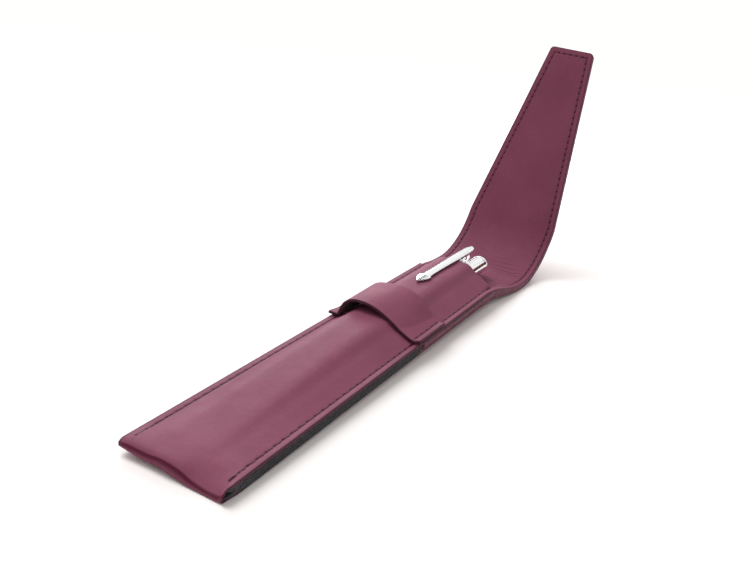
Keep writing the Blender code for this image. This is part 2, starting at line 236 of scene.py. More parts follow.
def back_z(v, u):
    """Height of the back's outer face, which curls up at its edges and at the left corner."""
    t = (v - LIFT_PLACE) / (LENGTH - LIFT_PLACE)
    past = (v - LENGTH) / HINGE_FOLD
    lift = np.where(v < LIFT_PLACE, EDGE_LIFT * v / LIFT_PLACE,
                    EDGE_LIFT + (MOUTH_LIFT - EDGE_LIFT) * ease(t))
    lift = np.where(v > LENGTH, MOUTH_LIFT * (1 - ease(past)), lift)
    corner = fold_lift(u) * MM * (1 - ease((v - 2.2 * MM) / (18 * MM)))
    return lift * ease((np.abs(u) - CURL_FROM) / 0.36) + np.where(v > LENGTH, 0.0, corner)


def seam_room(v, u):
    """How much further the flap lining stands up where the seams draw it to the front."""
    at = np.minimum(v, LENGTH)
    room = seam_top(at) - LEATHER - 0.14 * MM - FLAP_STACK - back_z(at, np.ones_like(u))
    fade = np.where(v > LENGTH, 1 - ease((v - LENGTH) / (17 * MM)), 1.0)
    return np.maximum(room, 0) * fade * ease((np.abs(u) - SEWN_FROM) / 0.16)


def flap_half(s):
    """Half of the flap's width at a distance from the mouth."""
    flare = 1 - (1 - np.clip(s / FLARE, 0, 1)) ** 2
    taper = np.clip((s - TAPER_START) / (FLAP_LENGTH - TAPER_START), 0, 1)
    wide = 2 * HALF + (FLAP_WIDTH - 2 * HALF) * flare + (TIP_WIDTH - FLAP_WIDTH) * taper
    rest = np.clip(FLAP_LENGTH - s, 0, TIP_CORNER)
    corner = TIP_CORNER - np.sqrt(np.maximum(TIP_CORNER ** 2 - (TIP_CORNER - rest) ** 2, 0))
    return float(wide / 2 - corner)


def flap_frame(s):
    """Place of the flap's inner face on its middle line, and how far it has turned up."""
    turn = np.clip(s - BEND_START, 0, BEND_LENGTH) / BEND_R
    rest = np.maximum(s - BEND_START - BEND_LENGTH, 0)
    y = MOUTH_Y + np.minimum(s, BEND_START) + BEND_R * np.sin(turn) + rest * np.cos(turn)
    z = FLAP_STACK + BEND_R * (1 - np.cos(turn)) + rest * np.sin(turn)
    return float(y), float(z), float(turn)


def lean(s):
    """How far the flap's middle line has moved to the right."""
    return FLAP_LEAN * max(float(s) - HINGE_FOLD, 0) / (FLAP_LENGTH - HINGE_FOLD)


# Columns across a sheet: these distances in from each edge, then even steps between
EDGE_COLUMNS = np.array((0, 0.2, 0.6, 1.1, 1.5, 1.8, 2.0, 2.2, 2.4, 2.6, 2.9, 3.4, 4.2)) * MM


def across(left, right, inner=30):
    left = left + EDGE_COLUMNS
    right = right - EDGE_COLUMNS
    middle = np.linspace(left[-1], right[-1], inner)[1:-1]
    return np.concatenate((left, middle, right[::-1]))


def groove(rim, along, margin, pitch):
    """The line that the stitches pull into the leather, deepest at their holes."""
    near = np.exp(-((rim - margin) / (0.4 * MM)) ** 2)
    return GROOVE * near * (0.55 + 0.45 * np.cos(2 * math.pi * along / pitch))


def seam_groove(x, v):
    return groove(HALF - np.abs(x), v - SEAM_FIRST, SEAM_MARGIN, SEAM_PITCH)


# The leather strip's outer face, row by row

class Strip:
    """Rows of points, with what the layers and materials need to know of each."""

    # under: how much painted shade falls under the fold's crease
    keys = ("points", "leg", "place", "rim", "run", "squeeze", "under")

    def __init__(self):
        for key in self.keys:
            setattr(self, key, [])

    def add(self, leg, place, points, left, right, squeeze=1.0, under=0.0):
        x = points[:, 0]
        pitch, first = (FLAP_PITCH, FLAP_FIRST) if leg == "flap" else (SEAM_PITCH, SEAM_FIRST)
        row = (points, leg, place, np.minimum(x - left, right - x),
               *(np.full_like(x, value) for value in ((place - first) / pitch, squeeze, under)))
        for key, value in zip(self.keys, row):
            getattr(self, key).append(value)

    def finish(self):
        for key in self.keys:
            setattr(self, key, np.array(getattr(self, key)))
        return self


def pinch(y, u):
    """How thin the layers are drawn at the pinched left and the drooping right corner."""
    left = 0.5 * ease((-u - 0.15) / 0.85) * (1 - ease(y / (12 * MM)))
    right = 0.5 * ease((u + 0.15) / 0.9) * (1 - ease(y / (4 * MM)))
    fold = 0.35 * (1 - ease((y - 1.5 * MM) / (7 * MM)))
    return (1 - left) * (1 - right) * (1 - fold) * (1 - 0.75 * mouth_press(y, u))


def spline(points, samples):
    """Rows of a smooth curve through rows of points, from past the second to the last but one."""
    rows = []
    for i in range(1, len(points) - 2):
        a, b, c, d = points[i - 1:i + 3]
        for t in np.linspace(0, 1, samples, endpoint=False):
            rows.append(0.5 * (2 * b + (c - a) * t + (2 * a - 5 * b + 4 * c - d) * t ** 2
                               + (3 * b - a - 3 * c + d) * t ** 3))
    return rows[1:] + [points[-2]]


def fold_rows():
    """The folded bottom end's outline, as (y from the end, z) for each column."""
    u = across(-HALF, HALF) / HALF
    fronts = (FOLD_FRONT + 2 * MM, FOLD_FRONT)
    rows = [np.stack((np.full_like(u, v), front_z(v, u)), 1) for v in fronts]
    for ys, zs in FOLD_PLACES:
        pair = [smooth_curve(FOLD_AT, values)(u) * MM for values in (ys, zs)]
        rows.append(np.stack(pair, 1))
    rows += [np.stack((np.full_like(u, v), back_z(v, u)), 1) for v in (FOLD_BACK, 8 * MM)]
    return u, spline(rows, FOLD_STEPS)


def left_inset(y):
    """The left corner is rounded a little."""
    radius = 1.0 * MM
    y = min(max(y + 0.15 * MM, 0), radius)
    return radius - math.sqrt(radius ** 2 - (radius - y) ** 2)


def right_inset(y, leg):
    """At the drooping corner the leather draws in as it goes round the fold."""
    if leg == "front":
        return float(0.25 * MM * (1 - ease((y - 0.5 * MM) / (4 * MM))))
    return float(0.6 * MM * (1 - ease((y - 1 * MM) / (7 * MM))))


def build_strip():
    strip = Strip()
    x = across(-HALF, HALF)
    for v in np.linspace(LENGTH, FOLD_FRONT, FRONT_ROWS):
        u = x / HALF
        waves = ripple(x, v, 3, 9 * MM) * np.clip(1.1 - np.abs(u), 0, 1)
        z = front_z(v, u) + FRONT_WAVE * waves * ease((v - FOLD_FRONT) / (10 * MM))
        z = z - seam_groove(x, v)
        strip.add("front", v, row_at(x, v - MOUTH_Y, z), -HALF, HALF, pinch(v, u))
    u, rows = fold_rows()
    for k, row in enumerate(rows):
        y = row[:, 0]
        left = -HALF + left_inset(y[0])
        turn = float(ease((k / (len(rows) - 1) - 0.35) / 0.4))
        right = HALF - right_inset(y[-1], "front") * (1 - turn) - right_inset(y[-1], "back") * turn
        x = across(left, right)
        # Painted shade under the crease: strongest just below it, fading down the face
        past = (k + 1) / FOLD_STEPS - FOLD_CREASE - 1
        under = float(ease((past + 0.3) / 0.3) * (1 - 0.8 * ease((past - 0.1) / 1.2)))
        strip.add("fold", y[0], np.stack((x, y - MOUTH_Y, row[:, 1]), 1), left, right,
                  pinch(np.maximum(y, 0), u), under * (past < 3))
    for v in np.linspace(FOLD_BACK + 0.6 * MM, LENGTH, BACK_ROWS):
        right = HALF - right_inset(v, "back")
        x = across(-HALF, right)
        z = back_z(v, u) + seam_groove(x, v)
        strip.add("back", v, row_at(x, v - MOUTH_Y, z), -HALF, right,
                  np.where(v < LENGTH / 2, pinch(v, u), 1.0))
    for s in flap_stations()[1:]:
        half = flap_half(s)
        shift = lean(s)
        x = across(-half, half)
        y, z, turn = flap_frame(s)
        y = y + FLAP_STACK * math.sin(turn)
        z = z - FLAP_STACK * math.cos(turn) + back_z(LENGTH + s, x / half)
        strip.add("flap", s, row_at(x + shift, y, z), shift - half, shift + half)
        tip = FLAP_LENGTH - s
        if tip < half:
            strip.run[-1] = np.where(tip < strip.rim[-1], x / FLAP_PITCH + 10, strip.run[-1])
            strip.rim[-1] = np.minimum(strip.rim[-1], tip)
    return strip.finish()


def flap_stations():
    """Distances from the mouth: closest where the flap bends, and with both cuts among them."""
    tip = FLAP_LENGTH - TIP_CORNER + TIP_CORNER * np.sin(np.linspace(0, math.pi / 2, 13))[1:]
    cuts = np.array((CUT_HEEL, CUT_NECK))
    ends = (0, 6 * MM, 46 * MM, FLAP_LENGTH - 6 * MM, FLAP_LENGTH - TIP_CORNER)
    even = np.concatenate([np.linspace(a, b, count)
                           for a, b, count in zip(ends, ends[1:], (10, 190, 100, 12))])
    keep = np.min(np.abs(even[:, None] - cuts), axis=1) > 0.08 * MM
    return np.unique(np.concatenate((even[keep], cuts, tip)))


def face_normals(points):
    """Unit normals of a grid of points, pointing into the case."""
    middle = points[:, points.shape[1] // 2]
    place = np.concatenate(((0,), np.cumsum(np.linalg.norm(np.diff(middle, axis=0), axis=1))))
    normals = unit(np.cross(np.gradient(points, place, axis=0), np.gradient(points, axis=1)))
    return normals * -np.sign(normals[-1, 20, 1])


def add_object(name, data):
    obj = bpy.data.objects.new(name, data)
    bpy.context.scene.collection.objects.link(obj)
    return obj


def new_mesh(name, verts, faces, materials, face_slots=None, smooth=True):
    mesh = bpy.data.meshes.new(name)
    mesh.from_pydata([tuple(v) for v in verts], [], faces)
    for material in materials:
        mesh.materials.append(material)
    if face_slots is not None:
        mesh.polygons.foreach_set("material_index", face_slots)
    if smooth:
        mesh.shade_smooth()
    return add_object(name, mesh)


def fix_normals(obj):
    bm = bmesh.new()
    bm.from_mesh(obj.data)
    bmesh.ops.recalc_face_normals(bm, faces=bm.faces)
    bm.to_mesh(obj.data)
    bm.free()
    obj.data.shade_smooth()
    obj.data.set_sharp_from_angle(angle=math.radians(55))


EDGE_SHAPE = ((0.18, 0.75), (0.5, 1.0), (0.82, 0.75))
EDGE_DOME = 0.16 * MM


def edge_points(start, end, out, dome):
    return [start * (1 - t) + end * t + unit(out) * dome * k for t, k in EDGE_SHAPE]


def sheet(name, top, bottom, materials, close_start=True, close_end=True, slots=(0, 0, 0, 0),
          row_slots=None, attributes=None, dome=EDGE_DOME):
    """A leather layer with domed edges between two equal grids of points.

    slots: materials of the top, the upper and lower half of the edge, and the bottom.
    row_slots: for each row the material of its whole edge, or None to keep slots.
    """
    rows, columns = top.shape[:2]
    size = 2 * columns + 6
    rings = []
    for i in range(rows):
        right = edge_points(top[i, -1], bottom[i, -1], top[i, -1] - top[i, -2], dome)
        left = edge_points(bottom[i, 0], top[i, 0], top[i, 0] - top[i, 1], dome)
        rings.append(np.concatenate((top[i], right, bottom[i][::-1], left)))
    verts = np.concatenate(rings)
    part = [0] * (columns - 1) + [1, 1, 2, 2] + [3] * (columns - 1) + [2, 2, 1, 1]
    faces, face_slots = [], []
    for i in range(rows - 1):
        for j in range(size):
            n = (j + 1) % size
            faces.append((i * size + j, i * size + n, (i + 1) * size + n, (i + 1) * size + j))
            slot = slots[part[j]]
            if part[j] in (1, 2) and row_slots is not None and row_slots[i] is not None:
                slot = row_slots[i]
            face_slots.append(slot)
    extra = []
    for closed, i, other in ((close_start, 0, 1), (close_end, rows - 1, rows - 2)):
        if not closed:
            continue
        start = len(verts) + sum(len(e) for e in extra)
        extra.append((top[i] + bottom[i]) / 2 + unit(top[i] - top[other]) * dome)
        base = i * size
        for j in range(columns - 1):
            faces.append((base + j, base + j + 1, start + j + 1, start + j))
            faces.append((start + j, start + j + 1, base + 2 * columns + 1 - j,
                          base + 2 * columns + 2 - j))
            face_slots += [slots[1], slots[2]]
        faces.append((start + columns - 1,) + tuple(base + columns - 1 + k for k in range(5)))
        faces.append((start,) + tuple(base + size - 4 + k for k in range(4)) + (base,))
        face_slots += [slots[1], slots[1]]
    verts = np.concatenate([verts] + extra)
    obj = new_mesh(name, verts, faces, materials, face_slots)
    for key, values in (attributes or {}).items():
        data = np.zeros(len(verts), np.float32)
        for i in range(rows):
            low = i * size + columns + 3
            data[i * size:i * size + columns] = values[i]
            data[low:low + columns] = values[i][::-1]
            data[i * size + columns:low] = values[i][-1]
            data[low + columns:(i + 1) * size] = values[i][0]
        obj.data.attributes.new(key, "FLOAT", "POINT").data.foreach_set("value", data)
    fix_normals(obj)
    return obj


# Materials

PLUM = (0.215, 0.064, 0.108)
PLUM_LINING = (0.185, 0.050, 0.089)
CHARCOAL = (0.034, 0.034, 0.040)
# Painted shade in the stitch holes
STITCH_HOLE_SHADE = (0.040, 0.001, 0.010)
# Painted shade under the fold's crease and in the lining's wrinkle valleys
CREASE_SHADE = (0.070, 0.006, 0.022)


def shade(colour, amount):
    return tuple(min(c * amount, 1.0) for c in colour)


class Nodes:
    """Short names for adding nodes to a material or a world."""

    def __init__(self, owner):
        self.material = owner
        owner.use_nodes = True
        self.tree = owner.node_tree
        self.shader = self.tree.nodes.get("Principled BSDF")

    def add(self, kind, inputs=None, **settings):
        node = self.tree.nodes.new(kind)
        for key, value in settings.items():
            setattr(node, key, value)
        self.fill(node, inputs or {})
        return node

    def fill(self, node, inputs):
        """Link or set a node's inputs; a colour is three numbers."""
        for key, value in inputs.items():
            socket = node.inputs[key]
            if hasattr(value, "links"):
                self.tree.links.new(value, socket)
            else:
                socket.default_value = (*value, 1.0) if socket.type == "RGBA" else value

    def where(self):
        return self.add("ShaderNodeTexCoord").outputs["Object"]

    def noise(self, where, scale, detail=4.0, rough=0.55):
        return self.add("ShaderNodeTexNoise", {"Vector": where, "Scale": scale, "Detail": detail,
                                               "Roughness": rough}).outputs["Fac"]

    def ramp(self, value, stops):
        node = self.add("ShaderNodeValToRGB", {"Fac": value})
        while len(node.color_ramp.elements) < len(stops):
            node.color_ramp.elements.new(0.5)
        for element, (place, colour) in zip(node.color_ramp.elements, stops):
            element.position = place
            element.color = (*colour, 1.0)
        return node.outputs["Color"]

    def mix(self, factor, a, b):
        node = self.add("ShaderNodeMix", {0: factor, 6: a, 7: b}, data_type="RGBA")
        return node.outputs[2]

    def maths(self, operation, a, b=0.0):
        return self.add("ShaderNodeMath", {0: a, 1: b}, operation=operation).outputs[0]

    def span(self, value, low, high, start=0.0, end=1.0):
        limits = {"From Min": low, "From Max": high, "To Min": start, "To Max": end}
        node = self.add("ShaderNodeMapRange", {"Value": value, **limits},
                        interpolation_type="SMOOTHSTEP")
        return node.outputs["Result"]

    def attribute(self, name):
        return self.add("ShaderNodeAttribute", attribute_name=name).outputs["Fac"]

    def bump(self, height, strength, distance, before=None):
        inputs = {"Height": height, "Strength": strength, "Distance": distance}
        if before is not None:
            inputs["Normal"] = before
        return self.add("ShaderNodeBump", inputs).outputs["Normal"]


def leather_material(name, colour, roughness=0.5, grain=1.0):
    """Smooth dyed leather with pores, mottling and worn rims; dark rims partly edge paint, partly
    painted shade; painted shade in stitch grooves, holes and creases.
    """
    n = Nodes(bpy.data.materials.new(name))
    where = n.where()
    tone = n.ramp(n.noise(where, 45.0, 3.0),
                  ((0.3, shade(colour, 0.9)), (0.7, shade(colour, 1.1))))
    tone = n.mix(n.span(n.noise(where, 1300.0), 0.45, 0.75, 0.0, 0.22), tone, shade(colour, 0.62))
    # Painted shade along the stitch groove, and darker painted shade in the stitch holes
    seam = n.maths("ABSOLUTE", n.attribute("seam"))
    line = n.span(seam, 0.15, 0.55, 1.0, 0.0)
    run = n.maths("FRACT", n.attribute("run"))
    beside = n.maths("MINIMUM", run, n.maths("SUBTRACT", 1.0, run))
    hole = n.maths("MULTIPLY", n.span(beside, 0.10, 0.17, 1.0, 0.0),
                   n.span(seam, 0.2, 0.5, 1.0, 0.0))
    tone = n.mix(n.maths("MULTIPLY", line, 0.75), tone, shade(colour, 0.34))
    tone = n.mix(n.maths("MULTIPLY", hole, 0.95), tone, STITCH_HOLE_SHADE)
    # Painted shade under the fold's crease and in the wrinkles' valleys
    tone = n.mix(n.maths("MULTIPLY", n.attribute("under"), 0.92), tone, CREASE_SHADE)
    rim = n.attribute("rim")
    worn = n.maths("MULTIPLY", n.span(rim, 0.5, 1.7, 1.0, 0.0), 0.12)
    tone = n.mix(worn, tone, shade(colour, 1.3))
    # A dark rim, partly edge paint and partly painted shade beyond the edge
    rim_paint_and_shade = n.maths("MULTIPLY", n.span(rim, 0.15, 0.55, 1.0, 0.0), 0.85)
    tone = n.mix(rim_paint_and_shade, tone, shade(colour, 0.26))
    pores = n.add("ShaderNodeTexVoronoi", {"Vector": where, "Scale": 2300.0},
                  feature="DISTANCE_TO_EDGE")
    normal = n.bump(n.maths("MINIMUM", pores.outputs["Distance"], 0.12), 0.16 * grain, 0.00035)
    normal = n.bump(n.noise(where, 520.0, 5.0), 0.16 * grain, 0.0005, normal)
    normal = n.bump(n.noise(where, 70.0, 3.0), 0.10, 0.0012, normal)
    stretch = n.add("ShaderNodeMapping", {"Vector": where, "Scale": (0.22, 1.0, 1.0)})
    lines = n.maths("MULTIPLY", n.noise(stretch.outputs["Vector"], 900.0), n.attribute("crease"))
    rough = n.span(n.noise(where, 160.0), 0.0, 1.0, roughness - 0.06, roughness + 0.08)
    n.fill(n.shader, {"Base Color": tone, "Normal": n.bump(lines, 0.6, 0.0007, normal),
                      "Roughness": rough, "Specular IOR Level": 0.07})
    return n.material


def fuzzy_material(name, colour, light_share, scale=1500.0):
    """A raw cut edge: loose short fibres, matt, with lighter and darker tufts."""
    n = Nodes(bpy.data.materials.new(name))
    tufts = n.noise(n.where(), scale, 5.0, 0.7)
    tone = n.ramp(tufts, ((0.34, shade(colour, 0.35)), (0.54, colour),
                          (0.70, shade(colour, light_share))))
    n.fill(n.shader, {"Base Color": tone, "Normal": n.bump(tufts, 0.9, 0.0006), "Roughness": 0.95,
                      "Sheen Weight": 0.2, "Specular IOR Level": 0.12})
    return n.material


def thread_material():
    """Waxed maroon thread with its twist."""
    n = Nodes(bpy.data.materials.new("maroon_thread_fine"))
    twist = n.add("ShaderNodeTexWave", {"Vector": n.where(), "Scale": 900.0}, wave_type="BANDS",
                  bands_direction="DIAGONAL").outputs["Fac"]
    tone = n.ramp(twist, ((0.2, (0.060, 0.006, 0.022)), (0.8, (0.125, 0.020, 0.052))))
    n.fill(n.shader, {"Base Color": tone, "Normal": n.bump(twist, 0.5, 0.0002),
                      "Roughness": 0.65})
    return n.material


def chrome_material():
    """Polished chrome with faint handling marks."""
    n = Nodes(bpy.data.materials.new("chrome_fine"))
    marks = n.span(n.noise(n.where(), 500.0), 0.3, 0.7, 0.05, 0.12)
    n.fill(n.shader, {"Base Color": (0.90, 0.90, 0.91), "Metallic": 1.0, "Roughness": marks})
    return n.material


def lacquer_material():
    n = Nodes(bpy.data.materials.new("black_lacquer_fine"))
    tone = n.ramp(n.noise(n.where(), 300.0),
                  ((0.3, (0.006, 0.006, 0.007)), (0.7, (0.014, 0.013, 0.015))))
    n.fill(n.shader, {"Base Color": tone, "Roughness": 0.14, "Coat Weight": 0.6})
    return n.material


plum = leather_material("plum_leather_fine", PLUM)
plum_inner = leather_material("plum_lining_fine", PLUM_LINING, 0.55, 1.3)
plum_edge = fuzzy_material("maroon_cut_edge", (0.075, 0.010, 0.030), 1.6, 900.0)
plum_raw = fuzzy_material("plum_raw_edge", (0.17, 0.045, 0.082), 1.7, 800.0)
suede = fuzzy_material("band_underside", (0.060, 0.010, 0.024), 1.8, 1200.0)
charcoal = fuzzy_material("charcoal_raw_edge", CHARCOAL, 2.4)
thread = thread_material()
chrome = chrome_material()
lacquer = lacquer_material()


# The strip and its linings, cut where the flap's hinges need it

strip = build_strip()
normals = face_normals(strip.points)
leg, place = strip.leg, strip.place
rows = np.arange(len(leg))
shares = np.array([(p[:, 0] - (p[0, 0] + p[-1, 0]) / 2) / ((p[-1, 0] - p[0, 0]) / 2)
                   for p in strip.points])
margins = np.where(leg == "flap", FLAP_MARGIN, SEAM_MARGIN)[:, None]
heel_cut, neck_cut = (rows[(leg == "flap") & (np.abs(place - cut) < 1e-7)][0]
                      for cut in (CUT_HEEL, CUT_NECK))
lining_start = BAND_START + 0.2 * BAND_WIDTH


def strip_piece(name, keep, near, far, materials, slots, row_slots=None, close_start=False,
                close_end=False, reveal=0.0, more=None):
    """The part of a layer on some of the strip's rows; near and far are its two faces."""
    p = strip.points[keep]
    n = normals[keep]
    squeeze = strip.squeeze[keep]
    top = p + n * (near * squeeze)[:, :, None]
    bottom = p + n * (far * squeeze)[:, :, None]
    if reveal:
        share = shares[keep]
        wide = np.where(share < 0, p[:, :, 0] + reveal * share, (HALF + reveal) * share)
        end = 1 - ease((p[:, :, 1] + MOUTH_Y - 0.8 * MM) / (4 * MM))
        wide = wide + (p[:, :, 0] - 0.2 * MM * share - wide) * end
        top[:, :, 0] = wide
        bottom[:, :, 0] = wide
    rim = strip.rim[keep]
    unsewn = 9.0 * ((leg[keep] == "fold") & (place[keep] < 3.9 * MM))[:, None]
    values = {"rim": rim / MM, "seam": (rim - margins[keep]) / MM + unsewn,
              "run": strip.run[keep], "under": strip.under[keep], **(more or {})}
    edge = None if row_slots is None else [row_slots[i] for i in keep]
    return sheet(name, top, bottom, materials, close_start, close_end, slots, edge, values)


def edge_slot(kind, at):
    """The back's edge below the band is given the dark charcoal edge; above, the edge is raw
    leather.
    """
    if kind == "back":
        return 3 if 3 * MM < at < CHARCOAL_END else 2
    return 2 if kind == "flap" and at < RAW_FLAP_EDGE else None


def outer_piece(name, keep, **closing):
    edges = [edge_slot(kind, at) for kind, at in zip(leg, place)]
    return strip_piece(name, keep, 0.0, LEATHER, [plum, plum_edge, plum_raw, charcoal],
                       (0, 0, 1, 0), edges, **closing)


case_strip = outer_piece("case_strip", rows[:heel_cut + 1], close_start=True)
neck_strip = outer_piece("neck_strip", rows[heel_cut:neck_cut + 1])
tongue_strip = outer_piece("tongue_strip", rows[neck_cut:], close_end=True)


def lining_piece(name, keep, **closing):
    """The flap lining: drawn up at the seams, grooved by stitches, creased at the bend, with
    painted shade in the creases' valleys.
    """
    u = shares[keep]
    x = strip.points[keep][:, :, 0]
    s = (place[keep] - LENGTH * (leg[keep] != "flap"))[:, None]
    room = seam_room(s + LENGTH, u)
    bend = np.exp(-((s - WRINKLE_PLACE) / WRINKLE_REACH) ** 2)
    side = (0.35 + 0.65 * ease((u + 0.05) / 0.4)) * (1 - ease((np.abs(u) - SEWN_FROM) / 0.14))
    wave = s + 1.3 * MM * np.sin(x / (4.6 * MM) + 0.6) + 0.5 * MM * np.sin(x / (1.9 * MM) + 1.2)
    valley = 1 - np.abs(np.sin(wave / WRINKLE_WIDTH))
    lively = 0.6 + 0.4 * np.sin(wave / (2.9 * MM) + x / (5 * MM))
    face = (FLAP_STACK + room - groove(strip.rim[keep], strip.run[keep], FLAP_MARGIN, 1.0)
            - WRINKLE_DEPTH * valley ** 1.6 * lively * bend * side
            + ripple(x, s, 8, 7 * MM) * LINING_WAVE)
    # Painted shade in the wrinkles' valleys
    under = 0.75 * ease((valley - 0.45) / 0.5) * lively * bend * side
    return strip_piece(name, keep, LEATHER + 0.02 * MM, face,
                       [plum, plum_raw, plum_inner], (0, 1, 1, 2),
                       more={"under": under, "crease": bend * side}, **closing)


back_lining = rows[((leg == "back") & (place > lining_start)) | (leg == "flap")]
case_lining = lining_piece("lining_case", back_lining[back_lining <= heel_cut], close_start=True)
neck_lining = lining_piece("lining_neck", rows[heel_cut:neck_cut + 1])
tongue_lining = lining_piece("lining_tongue", rows[neck_cut:], close_end=True)


def pocket_cloth_piece():
    """The charcoal cloth, puffed up at the seams so that its cut edge fills the side."""
    pocket = (leg == "fold") | (((leg == "front") | (leg == "back")) & (place < lining_start))
    keep = rows[pocket]
    p = strip.points[keep]
    gap = np.zeros(p.shape[:2])
    for j in range(p.shape[1]):
        y = p[:, j, 1]
        z = p[:, j, 2]
        end = int(np.argmin(y))
        gap[:, j] = np.interp(y, y[end::-1], z[end::-1]) - np.interp(y, y[end:], z[end:])
    room = gap / 2 / strip.squeeze[keep] - LEATHER - 0.06 * MM
    edge = ease((np.abs(shares[keep]) - 0.8) / 0.12)
    thick = np.minimum(0.8 * MM + 0.8 * MM * edge, np.maximum(room, 0.05 * MM))
    near = LEATHER + 0.04 * MM
    return strip_piece("pocket_cloth", keep, near, near + thick, [charcoal], (0, 0, 0, 0),
                       close_start=True, close_end=True, reveal=0.08 * MM)


pocket_cloth = pocket_cloth_piece()


# Keeper band

def band_height(v, u):
    t = (v - BAND_START) / BAND_WIDTH
    arch = seam_top(v) + ARCH_LOW * band_low(u) * (1 - t) + ARCH_HIGH * band_high(u) * t
    laid = front_z(v, u) + (LAYER_GAP + BAND_LEATHER) * 1.12
    return np.maximum(arch, laid)


def build_band():
    """The band, with a tab at its left end and its lower right corner cut off."""
    top, rims = [], []
    for v in np.linspace(BAND_START, BAND_START + BAND_WIDTH, BAND_ROWS):
        t = (v - BAND_START) / BAND_WIDTH
        left = -HALF - 0.15 * MM - 0.9 * MM * (1 - float(ease(t / 0.25)))
        right = HALF + 0.12 * MM - 2.0 * MM * (1 - min(t / 0.09, 1.0))
        x = across(left, right, 70)
        edge = min(v - BAND_START, BAND_START + BAND_WIDTH - v)
        soften = 0.35 * MM * (1 - ease(edge / (0.7 * MM))) * (t > 0.5)
        z = band_height(v, np.clip(x / HALF, -1, 1)) - seam_groove(x, v) - soften
        top.append(row_at(x, v - MOUTH_Y, z))
        rims.append(np.minimum(np.minimum(x - left, right - x), edge) / MM)
    top = np.array(top)
    out = unit(np.cross(np.gradient(top, axis=0), np.gradient(top, axis=1)))
    out = out * -np.sign(out[10, 20, 2])
    values = {"rim": rims, "seam": (HALF - np.abs(top[:, :, 0]) - SEAM_MARGIN) / MM,
              "run": (top[:, :, 1] + MOUTH_Y - SEAM_FIRST) / SEAM_PITCH}
    return sheet("keeper_band_fine", top, top + out * BAND_LEATHER, [plum, plum_edge, suede],
                 slots=(0, 0, 1, 2), attributes=values)


band = build_band()


# Stitches

STITCH_SHAPE = ((0.0, 0.5, -1.0), (0.1, 0.8, -0.3), (0.3, 1.0, 0.25), (0.5, 1.05, 0.4),
                (0.7, 1.0, 0.25), (0.9, 0.8, -0.3), (1.0, 0.5, -1.0))
STITCH_SIDES = 8


def tube_faces(base, rings, sides):
    """Faces round a tube of rings of points, with its two ends."""
    faces = []
    for low in range(base, base + (rings - 1) * sides, sides):
        for k in range(sides):
            n = (k + 1) % sides
            faces.append((low + k, low + n, low + sides + n, low + sides + k))
    last = base + (rings - 1) * sides
    return faces + [tuple(range(base + sides - 1, base - 1, -1)), tuple(range(last, last + sides))]


def add_stitch(verts, faces, start, end, up):
    """One stitch from hole to hole, drawn tight so that it dips in at both ends."""
    forward = (end - start).normalized()
    side = forward.cross(up).normalized()
    faces += tube_faces(len(verts), len(STITCH_SHAPE), STITCH_SIDES)
    for along, size, rise in STITCH_SHAPE:
        middle = start.lerp(end, along) + up * (THREAD_R * rise)
        for k in range(STITCH_SIDES):
            a = 2 * math.pi * k / STITCH_SIDES
            verts.append(middle + side * (math.cos(a) * THREAD_R * size)
                         + up * (math.sin(a) * THREAD_R * 0.8 * size))


def stitch_row(name, stitches, seed):
    """stitches: (start, end, up) for each, which then lies a little aslant, as sewn."""
    rng = np.random.default_rng(seed)
    verts, faces = [], []
    for start, end, up in stitches:
        side = (end - start).normalized().cross(up)
        aslant = rng.uniform(0.11, 0.23) * MM
        wobble = rng.uniform(-0.05, 0.05) * MM
        add_stitch(verts, faces, start + side * (wobble - aslant),
                   end + side * (wobble + aslant), up)
    obj = new_mesh(name, verts, faces, [thread])
    fix_normals(obj)
    return obj


def seam_place(v, x):
    """Point in the seam's groove on the front, or on the band where it covers the front."""
    t = (v - BAND_START) / BAND_WIDTH
    height = band_height(v, x / HALF) if 0 < t < 1 else front_z(v, x / HALF)
    return Vector((x, v - MOUTH_Y, float(height) - GROOVE * 0.55))


def seam_stitches(side):
    found = []
    x = side * (HALF - SEAM_MARGIN)
    up = Vector((0, 0, 1))
    edges = (BAND_START, BAND_START + BAND_WIDTH)
    for i in range(int((LENGTH - 1.0 * MM - SEAM_FIRST) / SEAM_PITCH)):
        low = SEAM_FIRST + i * SEAM_PITCH + 0.5 * MM
        high = low + SEAM_PITCH - 1.0 * MM
        if not any(low - 0.2 * MM < edge < high + 0.2 * MM for edge in edges):
            found.append((seam_place(low, x), seam_place(high, x), up))
    if side < 0:
        for back, shift in ((9.4 * MM, 0.55 * MM), (5.6 * MM, 0.5 * MM), (2.9 * MM, 0.45 * MM)):
            v = LENGTH - back
            found.append((seam_place(v, x - shift), seam_place(v + 2.2 * MM, x + 0.3 * MM), up))
        found.append((seam_place(1.9 * MM, x + 1.0 * MM), seam_place(4.4 * MM, x), up))
    return found


def back_stitches(side):
    """The seam's stitches as they show on the back, sunk into their groove."""
    found = []
    x = side * (HALF - SEAM_MARGIN)
    down = Vector((0, 0, -1))
    for i in range(1, int((LENGTH - 1.0 * MM - SEAM_FIRST) / SEAM_PITCH)):
        ends = [SEAM_FIRST + i * SEAM_PITCH + d * MM for d in (0.35, 3.65)]
        at = [Vector((x, v - MOUTH_Y, float(back_z(v, x / HALF)) + GROOVE * 0.9)) for v in ends]
        found.append((*at, down))
    return found


def flap_place(s, x, inner):
    """Point on the flap's lining or outer face, with its upright."""
    y, z, turn = flap_frame(s)
    up = Vector((0, -math.sin(turn), math.cos(turn)))
    u = x / flap_half(s)
    z += float(back_z(LENGTH + s, u))
    here = Vector((x + lean(s), y, z))
    if inner:
        return here + up * (float(seam_room(LENGTH + s, u)) - GROOVE * 0.5), up
    return here - up * (FLAP_STACK - 0.02 * MM), -up


def flap_stitch(ends, inner):
    """A stitch between two places of the flap, each a distance and an x."""
    (start, up), (end, _) = (flap_place(s, x, inner) for s, x in ends)
    return start, end, up


